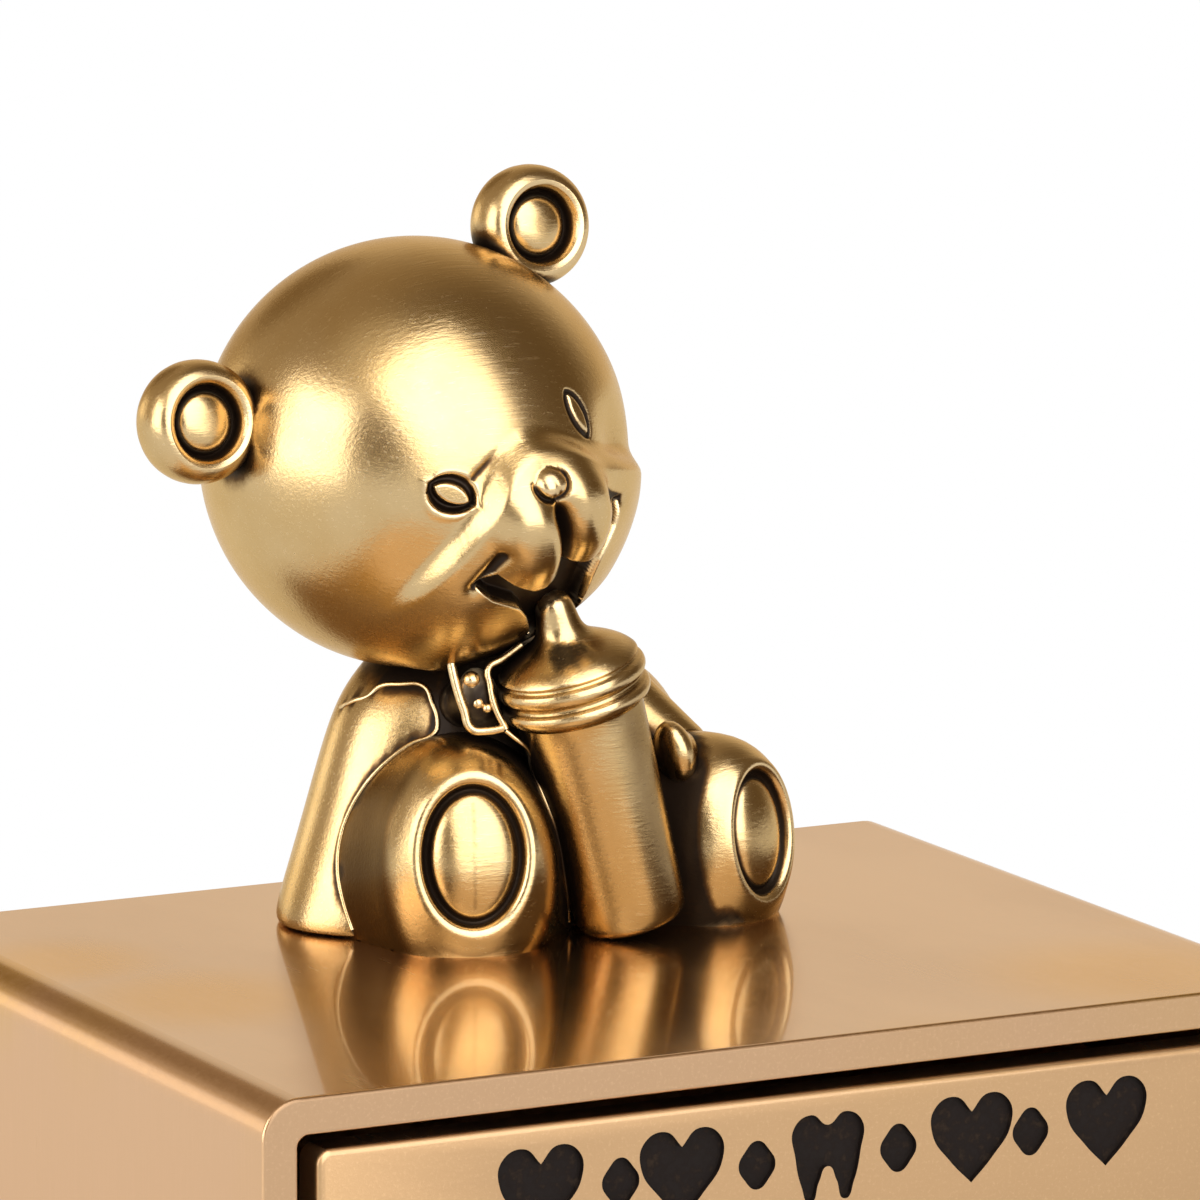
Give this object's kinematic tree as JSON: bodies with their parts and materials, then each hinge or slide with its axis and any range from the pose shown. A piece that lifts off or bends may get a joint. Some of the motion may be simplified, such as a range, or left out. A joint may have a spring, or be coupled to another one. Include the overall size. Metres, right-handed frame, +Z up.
{
  "type": "baby tooth box",
  "caption": "Antique brass keepsake box for milk teeth: a sleeve case with a sliding drawer, and a seated bear holding a feeding bottle on the top plate.",
  "frame": {"origin": "centre of the underside of the felt pad, on the table", "axes": "+Z up, -Y out of the drawer's front, +X to the viewer's right"},
  "size_m": [0.06, 0.0512, 0.0693],
  "materials": {
    "antique_brass": "brushed antique plating, dark patina in the recesses",
    "rivet_brass": "satin",
    "steel": "plated screw",
    "velvet": "short pile velvet",
    "felt": "pressed felt"
  },
  "bodies": {
    "case": {"case_sleeve": "antique_brass", "back_panel": "antique_brass", "base_felt": "felt", "figure_screws": "steel", "bear_head": "antique_brass", "bear_torso": "antique_brass", "bear_right_arm": "antique_brass", "bear_left_arm": "antique_brass", "bear_right_leg": "antique_brass", "bear_left_leg": "antique_brass", "feeding_bottle": "antique_brass"},
    "drawer": {"drawer_front": "antique_brass", "drawer_tray": "antique_brass", "drawer_lining": "velvet", "drawer_knob": "antique_brass", "knob_screw": "steel", "tray_rivets": "rivet_brass"}
  },
  "joints": [
    {"name": "drawer_slide", "type": "slide", "parent": "case", "child": "drawer", "axis": [0, -1, 0], "range_m": [0, 0.03]}
  ]
}
